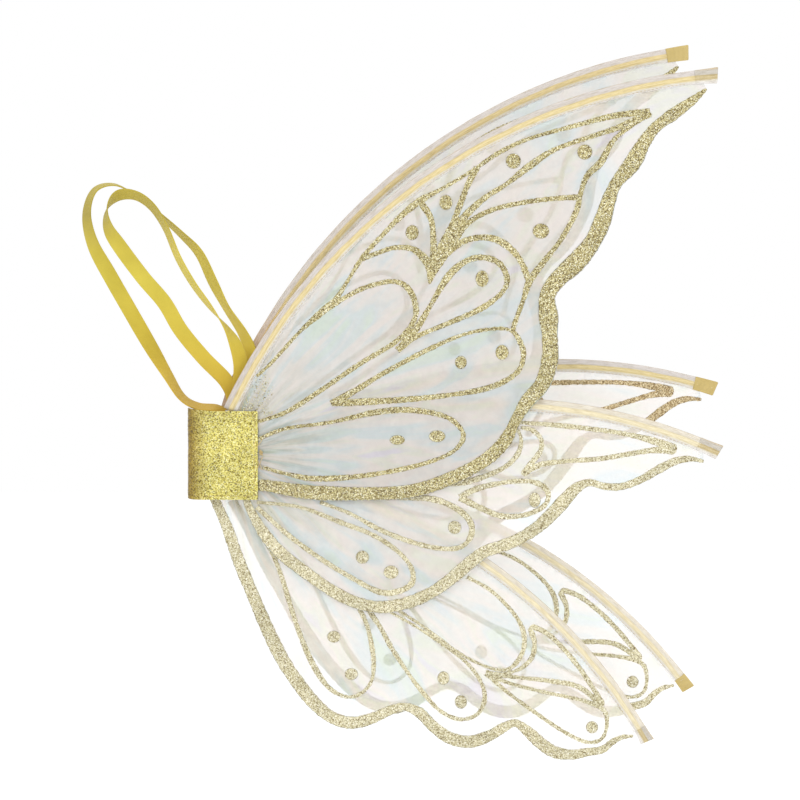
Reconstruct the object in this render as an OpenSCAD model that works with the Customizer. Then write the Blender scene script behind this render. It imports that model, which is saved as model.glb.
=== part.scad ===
// Folding fairy wings: two wings of three film lobes each, on a fold-over fabric wrap
// with two elastic arm loops. Drawn folded: the wings point along +X, the wearer's right is -Y.

/* [Wrap] */
// Height of the fabric wrap
wrap_h = 71; // [66:1:76]
// How far each wrap panel reaches forward
wrap_reach = 54; // [52:1:60]
// Thickness of the wrap fabric
wrap_t = 1.2; // [0.8:0.1:1.4]
// Half width of the folded wrap, to the middle of its fabric
wrap_half_y = 14.8; // [14.6:0.1:16]

/* [Lobes] */
// Thickness of the wing film
film_t = 0.5; // [0.3:0.1:0.6]
// Outward tilt of the lower lobes
lower_tilt = 2.5; // [2:0.1:3]
// Outward tilt of the middle lobes
middle_tilt = 3; // [2.5:0.1:3.5]
// Outward tilt of the upper lobes
upper_tilt = 3.5; // [3:0.1:4]

/* [Rods] */
// Diameter of the springy rods
rod_d = 2.4; // [1.8:0.1:2.4]
// Width of the ribbon casings
casing_w = 11; // [9:0.5:12]
// Thickness of a casing over its rod
casing_t = 3.8; // [3.4:0.1:4]
// Length of the taped rod tips
tip_l = 22; // [16:1:26]

/* [Arm loops] */
// Width of the elastic
elastic_w = 12; // [10:0.5:14]
// Thickness of the elastic
elastic_t = 1.2; // [0.8:0.1:1.2]

/* [Hidden] */
$fn = 48;

right = -1;
left = 1;

// Wrap: a flat spine strip, two quarter bends and two flat panels
spine_x = -1.8;
bend_r = 10.4;
bend_x = spine_x + bend_r;
bend_y = wrap_half_y - bend_r;
wrap_low = -36;
gap = 0.3;
webbing_t = 1.2;
webbing_w = 6;
lining_y = 4;
lining_t = 0.6;
lining_x = 10;
hem = 1.5;
binding_x = 10;
binding_t = 1.4;
tack_r = 1.2;
tack_clear = 0.05;
// Sewn strap ends: X of the front end on each side, X of the back end, and both ends' inner faces
front_end_right = 35;
front_end_left = 26;
back_end = 38;
end_y = [1.3, 2.7];
end_w = 10;
end_drop = 24;
end_top = 36.7;

// Lobes: each lies in its own upright plane, turned outward about a line at fan_x
fan_x = 54;
lower_y = 7;
middle_y = 9.8;
upper_y = 12.6;
bore_clear = 0.15;
ribbon_t = 0.9;
seam = 0.05;
tip_w = 11;
tip_t = 4.4;
// How far a rod stops short of the end of its tip
rod_short = 3;

// Rod arcs: centre, radius, the angles of the rod's inner end, casing start and tip
upper_arc = [[454.6, -164], 468, 156.3, 154, 94];
middle_arc = [[243, -396], 437, 117.6, 115.6, 65.6];
lower_arc = [[-4, -438], 425, 84.9, 83, 29.4];

// Pivots inside the wrap
upper_pivot = [36, 16];
middle_pivot = [38, -22];
lower_pivot = [30, -28];
// How far each tack stands inward and outward of its film
upper_tack = [1, 2.4];
middle_tack = [1, 4.6];
lower_tack = [1.2, 1];

// Left lobes sit a little higher in their planes than the right ones: turn and shift
left_upper_lift = [3.5, [0, 0]];
left_middle_lift = [7.4, [4, 0]];
left_lower_lift = [6.9, [10, -3]];
no_lift = [0, [0, 0]];
// Point that the lobes turn about when they lift
lift_centre = [28, 4];

// Film outlines: the free edge, then the gathered root and the side behind the rod
upper_edge = [
    [56, -30], [88, -35], [127, -37], [168, -34], [202, -27], [233, -10], [254, 5], [266, 24],
    [267, 38], [279, 47], [293, 63], [294, 84], [295, 104], [292, 122], [296, 134], [310, 144],
    [328, 162], [336, 187], [341, 206], [351, 221], [362, 239], [376, 259], [391, 271], [412, 290],
    [422, 296]
];
upper_root = [[430, 320], [280, 310], [130, 240], [10, 80], [18, 18], [26, 10], [47, 4], [52, -27]];
middle_edge = [
    [416, -5], [395, -6], [383, -10], [364, -22], [342, -29], [318, -26], [303, -33], [300, -45],
    [292, -54], [274, -70], [246, -78], [222, -90], [198, -109], [172, -124], [146, -124],
    [116, -114], [90, -95], [68, -76], [51, -54], [44, -42]
];
middle_root = [[34, -18], [30, 20], [150, 60], [300, 60], [440, 10]];
lower_edge = [
    [19, -44], [30, -75], [50, -119], [78, -179], [98, -206], [128, -220], [156, -211], [180, -207],
    [196, -226], [224, -234], [248, -223], [265, -221], [274, -233], [300, -242], [330, -240],
    [345, -230], [368, -227]
];
lower_root = [[390, -220], [330, -100], [200, -30], [52, 10], [26, -14]];

// Arm loops: the middle line in X and Z, the side step in Y and the lean of the flat elastic
right_loop = [
    [35, 40, -1.9, 8], [29, 58, -2.5, 5], [10, 78, -5, 0], [-8, 100, -9, 0], [-21, 122, -11, 0],
    [-38, 142, -12, 0], [-56, 166, -12, 10], [-66, 182, -12, 45], [-67, 197, -12, 85],
    [-58, 208, -12, 130], [-44, 208, -12, 125], [-31, 199, -12, 120], [-20, 182, -12, 115],
    [-10, 158, -11, 112], [2, 137, -9, 105], [16, 118, -7, 95], [29, 101, -4, 66],
    [36, 88, -5, 36], [40, 72, -5, 12], [39, 54, -4, 0], [38, 38, -3.4, 0]
];
left_loop = [
    [20, 43, 3.5, 60], [4, 44, 6, 62], [-10, 53, 8, 60], [-21, 69, 10, 50], [-35, 90, 12, 20],
    [-50, 116, 12, 0], [-66, 144, 12, 5], [-80, 170, 12, 35], [-85, 194, 12, 53],
    [-79, 213, 12, 65], [-64, 218, 12, 80], [-48, 211, 12, 95], [-28, 195, 12, 105],
    [-8, 177, 12, 115], [6, 162, 12, 125], [17, 139, 12, 130], [28, 118, 11, 118],
    [41, 98, 9, 130], [47, 82, 7, 150], [44, 62, 5, 170], [38, 40, 3.4, 180]
];
loop_step = 2;

// An arc of a flat ring, from angle a0 to a1, in the plane of the lobe
module arc_sweep(arc, a0, a1) {
    translate([arc[0][0], arc[0][1], 0])
        rotate([0, 0, a1])
            rotate_extrude(angle = a0 - a1, $fn = 180) translate([arc[1], 0]) children();
}

// Stands a lobe's plane upright at its place beside the middle of the wings
module lobe_plane(side, y, tilt, lift) {
    translate([fan_x, side * y, 0])
        rotate([0, 0, side * tilt])
            translate([-fan_x, 0, 0])
                rotate([90, 0, 0])
                    translate(lift_centre + lift[1])
                        rotate([0, 0, lift[0]])
                            translate(-lift_centre) children();
}

module upper_plane(side) {
    lobe_plane(side, upper_y, upper_tilt, side == left ? left_upper_lift : no_lift) children();
}

module middle_plane(side) {
    lobe_plane(side, middle_y, middle_tilt, side == left ? left_middle_lift : no_lift) children();
}

module lower_plane(side) {
    lobe_plane(side, lower_y, lower_tilt, side == left ? left_lower_lift : no_lift) children();
}

// Flat film: the free edge, cut back to the casing's inner edge, with a hole for its tack
module film(edge, root, arc, pivot) {
    translate([0, 0, -film_t / 2])
        linear_extrude(film_t)
            difference() {
                intersection() {
                    polygon(concat(edge, root));
                    translate(arc[0]) circle(r = arc[1] - casing_w / 2 - seam, $fn = 180);
                }
                translate(pivot) circle(r = tack_r + tack_clear);
            }
}

module upper_film(side) {
    upper_plane(side) film(upper_edge, upper_root, upper_arc, upper_pivot);
}

module middle_film(side) {
    middle_plane(side) film(middle_edge, middle_root, middle_arc, middle_pivot);
}

module lower_film(side) {
    lower_plane(side) film(lower_edge, lower_root, lower_arc, lower_pivot);
}

// Ribbon casing: a flat band with a round sleeve for the rod
module casing(arc) {
    arc_sweep(arc, arc[3], arc[4] + tip_l / arc[1] * 180 / PI)
        difference() {
            union() {
                square([casing_w, ribbon_t], center = true);
                circle(d = casing_t);
            }
            circle(d = rod_d + 2 * bore_clear);
        }
}

module rod(arc) {
    end_turn = rod_short / arc[1] * 180 / PI;
    arc_sweep(arc, arc[2], arc[4] + end_turn) circle(d = rod_d);
}

// Taped tip: a folded tab that closes the sleeve over the rod's end
module tip(arc) {
    tip_turn = tip_l / arc[1] * 180 / PI;
    end_turn = rod_short / arc[1] * 180 / PI;
    difference() {
        arc_sweep(arc, arc[4] + tip_turn, arc[4]) square([tip_w, tip_t], center = true);
        arc_sweep(arc, arc[4] + tip_turn + 0.1, arc[4] + end_turn) circle(d = rod_d + 2 * bore_clear);
    }
}

// Outer fabric panel on one side of the wrap
module wrap_panel(side) {
    translate([bend_x + gap, side * wrap_half_y - wrap_t / 2, wrap_low])
        cube([wrap_reach - bend_x - gap, wrap_t, wrap_h]);
}

module lining(side) {
    translate([lining_x, side * (lining_y + lining_t / 2) - lining_t / 2, wrap_low + hem])
        cube([wrap_reach - lining_x - hem, lining_t, wrap_h - 2 * hem]);
}

// The two sewn ends of an arm loop, flat against the lining
module strap_ends(side) {
    front_end = side == left ? front_end_left : front_end_right;
    for (end = [[front_end, end_y[0]], [back_end, end_y[1]]])
        translate([end[0], side * (end[1] + elastic_t / 2), end_top - end_drop / 2])
            cube([end_w, elastic_t, end_drop], center = true);
}

// Upright strip that closes the pocket behind the lobes, from lining to panel
module root_binding(side) {
    inner = lining_y + lining_t;
    outer = wrap_half_y - wrap_t / 2;
    translate([binding_x, side * (inner + outer) / 2 - (outer - inner) / 2, wrap_low + 2 * hem])
        cube([binding_t, outer - inner, wrap_h - 4 * hem]);
}

// A round tack square to its lobe
module tack(side, pivot, reach) {
    translate([pivot[0], pivot[1], side == left ? -reach[1] : -reach[0]])
        cylinder(r = tack_r, h = reach[0] + reach[1]);
}

// Stitched tacks that hold the three lobes of one wing
module root_tacks(side) {
    upper_plane(side) tack(side, upper_pivot, upper_tack);
    middle_plane(side) tack(side, middle_pivot, middle_tack);
    lower_plane(side) tack(side, lower_pivot, lower_tack);
}

// Half circle of fabric round the back, with its flat middle strip
module spine_panel() {
    color("darkkhaki")
        translate([0, 0, wrap_low]) {
            for (side = [right, left])
                translate([bend_x, side * bend_y, 0])
                    rotate([0, 0, side == left ? 90 : 180])
                        rotate_extrude(angle = 90, $fn = 96)
                            translate([bend_r - wrap_t / 2, 0]) square([wrap_t, wrap_h]);
            translate([spine_x - wrap_t / 2, -bend_y, 0]) cube([wrap_t, 2 * bend_y, wrap_h]);
        }
}

module spine_webbing() {
    color("goldenrod")
        translate([spine_x + wrap_t / 2, -webbing_w / 2, wrap_low + hem])
            cube([webbing_t, webbing_w, wrap_h - 2 * hem]);
}

// A smooth curve through the loop's points
function mix(p, i, t) =
    let (n = len(p) - 1)
    let (a = p[max(i - 1, 0)], b = p[i], c = p[min(i + 1, n)], d = p[min(i + 2, n)])
    0.5 * (2 * b + (c - a) * t + (2 * a - 5 * b + 4 * c - d) * t * t
        + (3 * b - a - 3 * c + d) * t * t * t);
function route(p) = concat(
    [for (i = [0:len(p) - 2]) for (k = [0:loop_step - 1]) mix(p, i, k / loop_step)],
    [p[len(p) - 1]]
);
function unit(v) = v / norm(v);
// One flat ring of the elastic: across its width, leaning out of the XZ plane
function ring(r, i) =
    let (n = len(r) - 1, a = r[max(i - 1, 0)], b = r[min(i + 1, n)])
    let (t = unit([b[0] - a[0], b[2], b[1] - a[1]] - [0, a[2], 0]))
    let (flat = unit(cross(t, [0, 1, 0])))
    let (lean = r[i][3])
    let (across = unit(flat * cos(lean) + unit(cross(flat, t)) * sin(lean)))
    let (thick = unit(cross(t, across)))
    let (o = [r[i][0], r[i][2], r[i][1]], w = across * elastic_w / 2, h = thick * elastic_t / 2)
    [o - w - h, o + w - h, o + w + h, o - w + h];
module elastic_loop(p) {
    r = route(p);
    n = len(r);
    polyhedron(
        points = [for (i = [0:n - 1]) each ring(r, i)],
        faces = concat(
            [[0, 1, 2], [0, 2, 3]],
            [for (i = [0:n - 2]) for (k = [0:3]) each [
                [4 * i + k, 4 * i + 4 + k, 4 * i + 4 + (k + 1) % 4],
                [4 * i + k, 4 * i + 4 + (k + 1) % 4, 4 * i + (k + 1) % 4]
            ]],
            [[4 * n - 4, 4 * n - 2, 4 * n - 3], [4 * n - 4, 4 * n - 1, 4 * n - 2]]
        )
    );
}

module right_arm_strap() { color("gold") elastic_loop(right_loop); }
module left_arm_strap() { color("gold") elastic_loop(left_loop); }

module right_wrap_panel() { color("darkkhaki") wrap_panel(right); }
module right_lining() { color("khaki") lining(right); }
module right_strap_ends() { color("gold") strap_ends(right); }
module right_root_binding() { color("wheat") root_binding(right); }
module right_root_tacks() { color("tan") root_tacks(right); }
module left_wrap_panel() { color("darkkhaki") wrap_panel(left); }
module left_lining() { color("khaki") lining(left); }
module left_strap_ends() { color("gold") strap_ends(left); }
module left_root_binding() { color("wheat") root_binding(left); }
module left_root_tacks() { color("tan") root_tacks(left); }

module right_upper_film() { color("lavender") upper_film(right); }
module right_upper_casing() { color("wheat") upper_plane(right) casing(upper_arc); }
module right_upper_rod() { color("gray") upper_plane(right) rod(upper_arc); }
module right_upper_tip() { color("goldenrod") upper_plane(right) tip(upper_arc); }
module right_middle_film() { color("lavender") middle_film(right); }
module right_middle_casing() { color("wheat") middle_plane(right) casing(middle_arc); }
module right_middle_rod() { color("gray") middle_plane(right) rod(middle_arc); }
module right_middle_tip() { color("goldenrod") middle_plane(right) tip(middle_arc); }
module right_lower_film() { color("lavender") lower_film(right); }
module right_lower_casing() { color("wheat") lower_plane(right) casing(lower_arc); }
module right_lower_rod() { color("gray") lower_plane(right) rod(lower_arc); }
module right_lower_tip() { color("goldenrod") lower_plane(right) tip(lower_arc); }

module left_upper_film() { color("lavender") upper_film(left); }
module left_upper_casing() { color("wheat") upper_plane(left) casing(upper_arc); }
module left_upper_rod() { color("gray") upper_plane(left) rod(upper_arc); }
module left_upper_tip() { color("goldenrod") upper_plane(left) tip(upper_arc); }
module left_middle_film() { color("lavender") middle_film(left); }
module left_middle_casing() { color("wheat") middle_plane(left) casing(middle_arc); }
module left_middle_rod() { color("gray") middle_plane(left) rod(middle_arc); }
module left_middle_tip() { color("goldenrod") middle_plane(left) tip(middle_arc); }
module left_lower_film() { color("lavender") lower_film(left); }
module left_lower_casing() { color("wheat") lower_plane(left) casing(lower_arc); }
module left_lower_rod() { color("gray") lower_plane(left) rod(lower_arc); }
module left_lower_tip() { color("goldenrod") lower_plane(left) tip(lower_arc); }

spine_panel();
spine_webbing();
right_arm_strap();
left_arm_strap();
right_wrap_panel();
right_lining();
right_strap_ends();
right_root_binding();
right_root_tacks();
right_upper_film();
right_upper_casing();
right_upper_rod();
right_upper_tip();
right_middle_film();
right_middle_casing();
right_middle_rod();
right_middle_tip();
right_lower_film();
right_lower_casing();
right_lower_rod();
right_lower_tip();
left_wrap_panel();
left_lining();
left_strap_ends();
left_root_binding();
left_root_tacks();
left_upper_film();
left_upper_casing();
left_upper_rod();
left_upper_tip();
left_middle_film();
left_middle_casing();
left_middle_rod();
left_middle_tip();
left_lower_film();
left_lower_casing();
left_lower_rod();
left_lower_tip();
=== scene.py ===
"""Fairy wings: film lobes with glitter print, ribbon casings, taped tips, glitter wrap and elastic loops."""
import math
import random

import bmesh
import bpy
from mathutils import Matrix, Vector, noise
from mathutils.geometry import delaunay_2d_cdt


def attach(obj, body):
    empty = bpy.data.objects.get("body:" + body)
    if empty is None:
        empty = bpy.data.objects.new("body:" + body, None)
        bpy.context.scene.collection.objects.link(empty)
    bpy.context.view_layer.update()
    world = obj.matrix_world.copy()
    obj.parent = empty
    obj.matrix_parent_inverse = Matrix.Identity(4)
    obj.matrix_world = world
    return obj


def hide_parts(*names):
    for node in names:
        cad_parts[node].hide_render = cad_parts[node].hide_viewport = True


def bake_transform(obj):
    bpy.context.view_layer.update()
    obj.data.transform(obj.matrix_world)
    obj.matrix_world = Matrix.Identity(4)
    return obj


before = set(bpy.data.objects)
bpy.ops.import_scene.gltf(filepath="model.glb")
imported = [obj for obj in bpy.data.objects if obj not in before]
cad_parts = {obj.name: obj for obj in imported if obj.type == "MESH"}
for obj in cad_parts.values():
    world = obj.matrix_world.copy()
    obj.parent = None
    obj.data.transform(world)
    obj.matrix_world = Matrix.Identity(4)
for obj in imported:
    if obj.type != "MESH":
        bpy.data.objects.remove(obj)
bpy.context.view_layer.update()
MM = 0.001
SIDES = {"right": -1, "left": 1}

# -------- driving sizes, in millimetres
FAN_X = 54                      # lobes turn outward about an upright line here
LIFT_CENTRE = (28, 4)           # and the left ones are turned up about this point
GATHER = (30, 2)                # a lobe's gathers meet here
GATHER_DEEP, GATHER_REACH = 22, 78      # they start to fade here, and need a fine mesh as far as this
GATHERS, FINE_GATHERS = 34, 71          # folds in a full turn round that point
GATHER_FADE, FINE_FADE = 60, 28         # lengths over which they fade outward
BILLOW, HELD_NEAR = 70, 25              # size of a billow, and how near the rod holds the film flat
TINT_CENTRE = (24, 2)           # the film's tints fan out from here
FILM_T = 0.2
PRINT_T = 0.26                  # how far the glitter print stands from the film's middle
VEIN_LEVELS, LEVEL_STEP = 4, 0.04       # veins that cross stand at different heights
CASING_W, CASING_T = 11, 3.8
SLEEVE_BACK, TAPE_OVERLAP = 6, 3        # the sleeve starts behind its CAD end and stops under the tape
TIP_L = 22
WRAP_LOW, WRAP_HIGH = -36, 35
CLOTH_T = 0.96
SPINE_X = -1.8                  # the wrap's middle line: spine, bends, then panels up to REACH
BEND_R = 10.4
BEND_X = SPINE_X + BEND_R
HALF_Y = 14.8
BEND_Y = HALF_Y - BEND_R
REACH = 54
ELASTIC_W, ELASTIC_T, ELASTIC_RIBS = 12, 1.2, 9
THREAD_R = 0.3
WRAP_STITCH_PITCH = 3.4
FLAKES, SPECKLES = 4200, 520    # loose glitter on each half of the wrap and on each upper lobe
SPECKLE_X, SPECKLE_Z = (22, 66), (32, 66)

# Fineness of the meshes: distances between points in millimetres, then numbers of steps and sides
EDGE_PITCH, BORDER_PITCH, VEIN_PITCH = 3.0, 1.5, 1.4
FILM_PITCH, ROOT_PITCH, CASING_PITCH = 5.0, 1.8, 3.0
CURVE_STEPS, ROD_STEPS, TIP_STEPS = 6, 110, 22
BEND_STEPS, PANEL_STEPS, WRAP_ROWS = 12, 19, 30
DOT_SIDES, SLEEVE_SIDES, TIP_SIDES = 20, 22, 28

# Each lobe: the layer it lies in, its outward tilt, its rod's arc (centre, radius, angles of casing
# start and tip), the gathered root, the border's middle line with widths from tip to root, the veins
# with widths and the dots with their two radii. All in the lobe's plane.
UPPER = {
    "y": 12.6, "tilt": 3.5, "arc": ((454.6, -164), 468, 154, 94),
    "root": [(44, -22), (46, 4), (26, 10), (18, 18), (28, 36)],
    "border": [
        (413, 292, 2), (402, 283, 7), (388, 273, 10), (373, 262, 9), (363, 249, 11), (354, 233, 14),
        (341, 217, 10), (335, 203, 12), (330, 187, 14), (322, 170, 14), (309, 154, 16), (294, 140, 14),
        (286, 127, 13), (287, 110, 16), (288, 94, 13), (288, 76, 14), (282, 57, 13), (270, 43, 12),
        (261, 28, 9), (252, 11, 11), (235, -5, 11), (208, -19, 11), (176, -29, 11), (136, -31, 11),
        (96, -30, 12), (64, -25, 10), (54, -24, 9),
    ],
    "veins": [
        [(53, 63, 2), (66, 75, 3), (88, 99, 3), (106, 115, 6), (116, 124, 5), (126, 139, 3),
         (138, 158, 4), (156, 178, 4), (170, 192, 5), (185, 204, 6), (200, 212, 3), (224, 226, 3),
         (248, 242, 4), (272, 253, 3), (308, 263, 4), (340, 271, 5), (368, 274, 6)],
        [(106, 115, 5), (124, 126, 4), (140, 134, 4), (162, 139, 4), (175, 133, 5), (181, 118, 5),
         (178, 105, 4), (164, 90, 4), (136, 73, 4), (108, 54, 4), (80, 36, 4), (62, 29, 3),
         (52, 26, 3)],
        [(192, 137, 2), (192, 150, 7), (187, 158, 7), (178, 165, 5), (164, 166, 4), (151, 162, 4),
         (138, 157, 4)],
        [(192, 138, 2), (195, 154, 7), (195, 172, 5), (193, 189, 5), (185, 202, 6)],
        [(192, 138, 2), (201, 162, 10), (210, 183, 6), (217, 202, 5), (223, 217, 5), (230, 230, 6)],
        [(192, 138, 2), (204, 166, 10), (217, 187, 7), (234, 204, 5), (254, 217, 4), (272, 231, 6),
         (292, 244, 4), (320, 254, 4), (344, 262, 5), (368, 273, 7)],
        [(192, 138, 2), (206, 166, 10), (222, 185, 5), (242, 196, 4), (268, 202, 4), (292, 205, 4),
         (311, 206, 5)],
        [(368, 274, 6), (350, 261, 4), (338, 250, 4), (329, 234, 6), (318, 223, 5), (313, 210, 4),
         (309, 194, 5), (297, 172, 4), (283, 154, 5), (272, 139, 6), (267, 124, 4), (261, 108, 4),
         (258, 98, 4)],
        [(200, 154, 3), (210, 165, 6), (222, 172, 5), (237, 174, 5), (250, 170, 6), (263, 158, 5),
         (272, 139, 6)],
        [(166, 84, 5), (182, 102, 6), (194, 122, 4), (207, 143, 6), (221, 155, 5), (235, 158, 5),
         (248, 153, 5), (254, 141, 5), (250, 130, 4), (233, 117, 5), (206, 105, 4), (182, 95, 4),
         (166, 84, 6)],
        [(113, 41, 6), (133, 52, 5), (156, 66, 4), (188, 83, 4), (218, 96, 3), (244, 101, 3),
         (258, 99, 3), (265, 89, 5), (267, 78, 4), (261, 65, 4), (240, 54, 5), (208, 48, 4),
         (168, 44, 5), (128, 42, 6), (113, 41, 4)],
        [(53, 12, 3), (76, 21, 3), (112, 26, 3), (148, 34, 5), (176, 36, 5), (204, 31, 4),
         (217, 21, 4), (218, 11, 4), (206, 0, 3), (176, -10, 4), (136, -17, 4), (100, -19, 5),
         (76, -15, 3), (58, -10, 3)],
    ],
    "dots": [
        (316, 242, 6.4, 6.4), (259, 235, 6.4, 6.4), (205, 202, 5.6, 6.4), (178, 178, 5.6, 6.4),
        (281, 179, 7, 6.4), (234, 141, 5.6, 7), (250, 82, 5.6, 6.4), (217, 74, 5, 5.6),
        (198, 15, 7, 5), (166, 12, 6.4, 4),
    ],
}
MIDDLE = {
    "y": 9.8, "tilt": 3, "arc": ((243, -396), 437, 115.6, 65.6),
    "root": [(36, -30), (34, -18), (36, -6), (45, -3)],
    "border": [
        (411, -5, 2), (400, -3, 5), (388, -5, 6), (374, -12, 7), (362, -19, 6), (346, -25, 6),
        (332, -25, 6), (320, -22, 6), (310, -26, 9), (301, -35, 11), (291, -46, 11), (278, -58, 10),
        (262, -68, 10), (246, -74, 10), (235, -78, 10), (222, -88, 11), (208, -100, 10),
        (192, -111, 10), (172, -119, 10), (152, -122, 10), (132, -118, 10), (112, -108, 10),
        (92, -94, 10), (74, -80, 10), (61, -66, 10), (52, -52, 8), (46, -40, 6), (44, -32, 6),
    ],
    "veins": [
        [(264, 26, 3), (292, 24, 4), (320, 21, 4), (348, 17, 4), (372, 11, 6), (389, 4, 7),
         (372, 4, 5), (352, 1, 4), (328, -3, 4), (300, -5, 4), (280, -8, 5), (266, -16, 4),
         (274, -6, 5), (281, 4, 4), (281, 13, 4), (274, 20, 4), (265, 22, 3)],
        [(260, 25, 3), (265, 14, 3), (264, 4, 4), (257, -6, 4), (244, -14, 4), (224, -21, 5),
         (208, -24, 3)],
        [(216, -34, 5), (230, -27, 5), (252, -22, 4), (272, -21, 4), (284, -26, 5), (287, -34, 4),
         (282, -42, 4), (268, -48, 4), (250, -49, 5), (234, -43, 5), (216, -34, 6)],
        [(164, -34, 4), (192, -35, 5), (210, -41, 5), (222, -50, 5), (226, -60, 5), (222, -70, 4),
         (212, -75, 4), (194, -74, 4), (172, -68, 4), (150, -59, 4), (128, -47, 3), (104, -38, 3)],
        [(53, -38, 3), (88, -42, 3), (120, -54, 4), (146, -64, 4), (166, -77, 4), (177, -90, 4),
         (178, -102, 5), (168, -109, 5), (152, -110, 5), (130, -99, 4), (104, -83, 4), (78, -64, 4),
         (53, -42, 4)],
    ],
    "dots": [
        (276, -36, 5, 6.4), (212, -58, 5.6, 5.6), (138, -82, 5.6, 5.6), (161, -94, 6.4, 5.6),
    ],
}
LOWER = {
    "y": 7, "tilt": 2.5, "arc": ((-4, -438), 425, 83, 29.4),
    "root": [(16, -28), (26, -16), (33, -15), (46, -18)],
    "border": [
        (355, -225, 2), (346, -226, 4), (338, -230, 5), (330, -236, 6), (318, -238, 7), (306, -240, 8),
        (292, -238, 10), (281, -231, 10), (271, -222, 9), (261, -215, 6), (252, -218, 8),
        (240, -225, 9), (224, -230, 10), (208, -227, 10), (195, -218, 9), (184, -207, 9),
        (172, -202, 7), (160, -205, 8), (144, -212, 9), (128, -215, 10), (112, -210, 10),
        (98, -198, 11), (86, -183, 11), (74, -165, 11), (62, -141, 11), (50, -113, 10), (38, -84, 10),
        (29, -58, 9), (21, -40, 8), (18, -33, 8),
    ],
    "veins": [
        [(50, -42, 4), (56, -60, 6), (65, -78, 4), (73, -98, 4), (80, -121, 4), (88, -145, 4),
         (98, -168, 5), (110, -186, 4), (124, -194, 3), (136, -192, 3), (145, -182, 3), (147, -167, 4),
         (145, -151, 4), (141, -135, 4), (134, -121, 4)],
        [(141, -122, 4), (152, -138, 4), (162, -156, 4), (176, -177, 3), (186, -190, 4),
         (200, -205, 3), (216, -212, 3), (230, -208, 3), (236, -196, 4), (233, -182, 3),
         (221, -166, 3), (200, -150, 3), (178, -136, 2.4), (160, -126, 2.4)],
        [(166, -124, 2.4), (190, -140, 2.4), (216, -159, 2.4), (238, -170, 2.4), (254, -172, 3),
         (264, -163, 4), (268, -150, 4), (265, -136, 4), (255, -122, 3), (240, -108, 3), (222, -98, 3)],
        [(237, -175, 6), (250, -176, 3), (265, -171, 3), (274, -162, 4), (276, -150, 4),
         (273, -138, 5), (286, -143, 4), (298, -154, 4), (310, -168, 4), (321, -184, 4),
         (331, -201, 4), (312, -186, 4), (288, -181, 4), (260, -178, 3), (237, -175, 5)],
        [(237, -175, 4), (256, -183, 3), (284, -190, 3), (312, -196, 3), (330, -203, 4),
         (334, -214, 3), (330, -227, 3), (318, -230, 3), (300, -222, 3), (276, -206, 3),
         (254, -190, 3), (237, -175, 4)],
    ],
    "dots": [
        (115, -146, 5.6, 5), (129, -176, 5.6, 5), (203, -179, 5, 5.6), (217, -198, 5, 5.6),
        (322, -218, 5, 5),
    ],
}
LOBES = {"upper": UPPER, "middle": MIDDLE, "lower": LOWER}
# The left lobes lie a little higher than the right ones: degrees of turn, then a shift
LIFT = {"upper": (3.5, 0, 0), "middle": (7.4, 4, 0), "lower": (6.9, 10, -3)}

# Arm loops: X, Z, side step in Y and the lean of the flat elastic, from sewn end to sewn end
RIGHT_LOOP = [
    (35, 14, -1.9, 0), (35, 40, -1.9, 8), (29, 58, -2.5, 5), (10, 78, -5, 0), (-8, 100, -9, 0),
    (-21, 122, -11, 0), (-38, 142, -12, 0), (-56, 166, -12, 10), (-66, 182, -12, 45),
    (-67, 197, -12, 85), (-58, 208, -12, 130), (-44, 208, -12, 125), (-31, 199, -12, 120),
    (-20, 182, -12, 115), (-10, 158, -11, 115), (2, 137, -9, 114), (16, 118, -7, 106),
    (29, 101, -4, 70), (36, 88, -5, 36), (40, 72, -5, 12), (39, 54, -4, 0), (38, 38, -3.4, 0),
    (38, 14, -3.4, 0),
]
LEFT_LOOP = [
    (27, 14, 2, 0), (27, 29, 2, -10), (20, 37.2, 3.5, -58), (5, 39.0, 6, -62), (-8, 46.5, 8, -62),
    (-20, 65, 10, -50), (-35, 90, 12, -20), (-50, 116, 12, 0), (-66, 144, 12, 5),
    (-80, 170, 12, 35), (-85, 194, 12, 53), (-79, 213, 12, 65), (-64, 218, 12, 80),
    (-48, 211, 12, 95), (-28, 195, 12, 105), (-8, 177, 12, 115), (6, 162, 12, 125),
    (17, 139, 12, 130), (28, 118, 11, 118), (41, 98, 9, 130), (47, 82, 7, 150),
    (44, 62, 5, 170), (38, 40, 3.4, 180), (38, 14, 3.4, 180),
]


# -------- geometry helpers
def curve_through(points, steps):
    """A smooth curve through points of any dimension."""
    p = [Vector(q) for q in points]
    p = [2 * p[0] - p[1]] + p + [2 * p[-1] - p[-2]]
    out = []
    for i in range(1, len(p) - 2):
        a, b, c, d = p[i - 1:i + 3]
        for k in range(steps):
            t = k / steps
            out.append(0.5 * (2 * b + (c - a) * t + (2 * a - 5 * b + 4 * c - d) * t * t
                              + (3 * b - a - 3 * c + d) * t ** 3))
    out.append(p[-2])
    return out


def resample(path, pitch):
    """The path cut into even steps of about pitch, measured on its first two values."""
    length = [0.0]
    for a, b in zip(path, path[1:]):
        length.append(length[-1] + (b.to_2d() - a.to_2d()).length)
    count = max(2, round(length[-1] / pitch))
    out, i = [], 0
    for k in range(count + 1):
        s = length[-1] * k / count
        while i < len(path) - 2 and length[i + 1] < s:
            i += 1
        span = length[i + 1] - length[i]
        out.append(path[i].lerp(path[i + 1], 0 if span == 0 else min(1, (s - length[i]) / span)))
    return out


def arc_point(lobe, angle, off=0.0):
    (cx, cz), radius = lobe["arc"][:2]
    turn = math.radians(angle)
    return (cx + (radius + off) * math.cos(turn), cz + (radius + off) * math.sin(turn))


def turn_of(lobe, length):
    """Degrees that a length takes up along the lobe's rod."""
    return math.degrees(length / lobe["arc"][1])


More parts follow.
